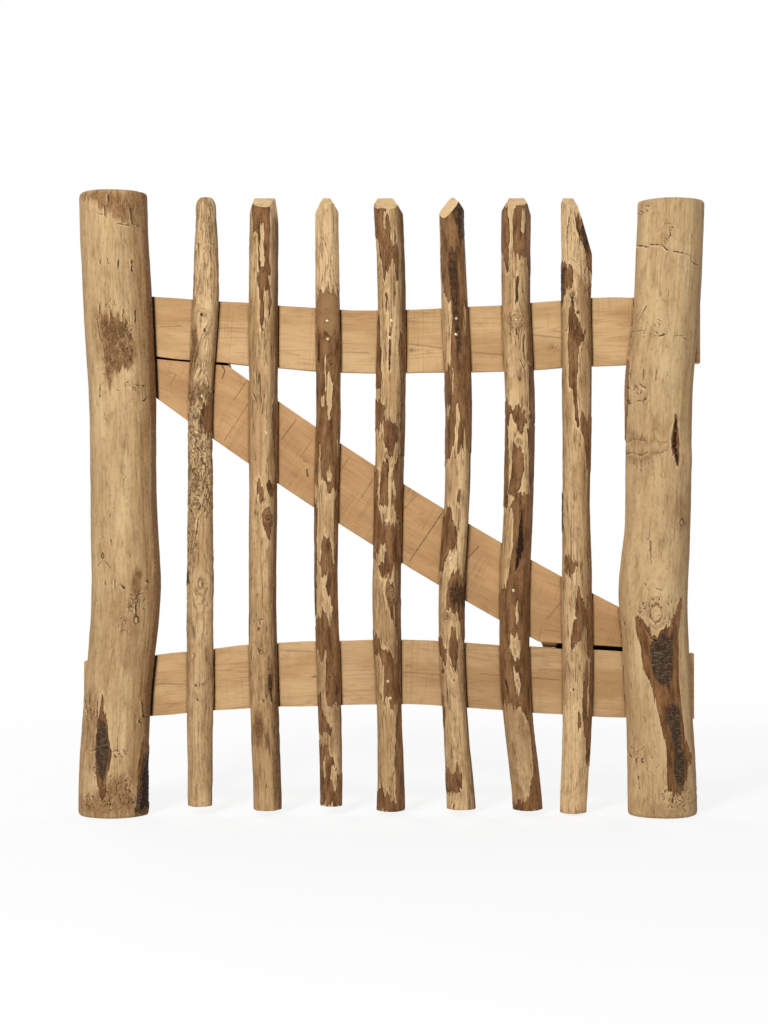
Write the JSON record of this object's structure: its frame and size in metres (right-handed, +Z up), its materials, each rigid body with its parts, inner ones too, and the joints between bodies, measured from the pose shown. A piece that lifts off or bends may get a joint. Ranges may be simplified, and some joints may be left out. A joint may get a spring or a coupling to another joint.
{
  "type": "wooden garden gate",
  "caption": "Garden gate leaf of cleft wood: thick half-round poles and slim pales in front of swept sawn rails and a curved diagonal brace.",
  "frame": {"origin": "middle of the sawn foot of the hanging pole", "axes": "+X along the gate to the right seen from the front, -Y out of the front, +Z up"},
  "size_m": [1.0246, 0.0864, 1.016],
  "materials": {
    "peeled_pole": "peeled, bare, matte",
    "cleft_pale": "cleft and partly barked, bare, matte",
    "sawn_board": "rough sawn, bare, matte",
    "screw": "yellow zinc plated"
  },
  "bodies": {
    "root": {"closing_pole": "peeled_pole", "hanging_pole": "peeled_pole", "pale_1": "cleft_pale", "pale_2": "cleft_pale", "pale_3": "cleft_pale", "pale_4": "cleft_pale", "pale_5": "cleft_pale", "pale_6": "cleft_pale", "pale_7": "cleft_pale", "top_rail": "sawn_board", "bottom_rail": "sawn_board", "brace": "sawn_board"}
  },
  "joints": []
}
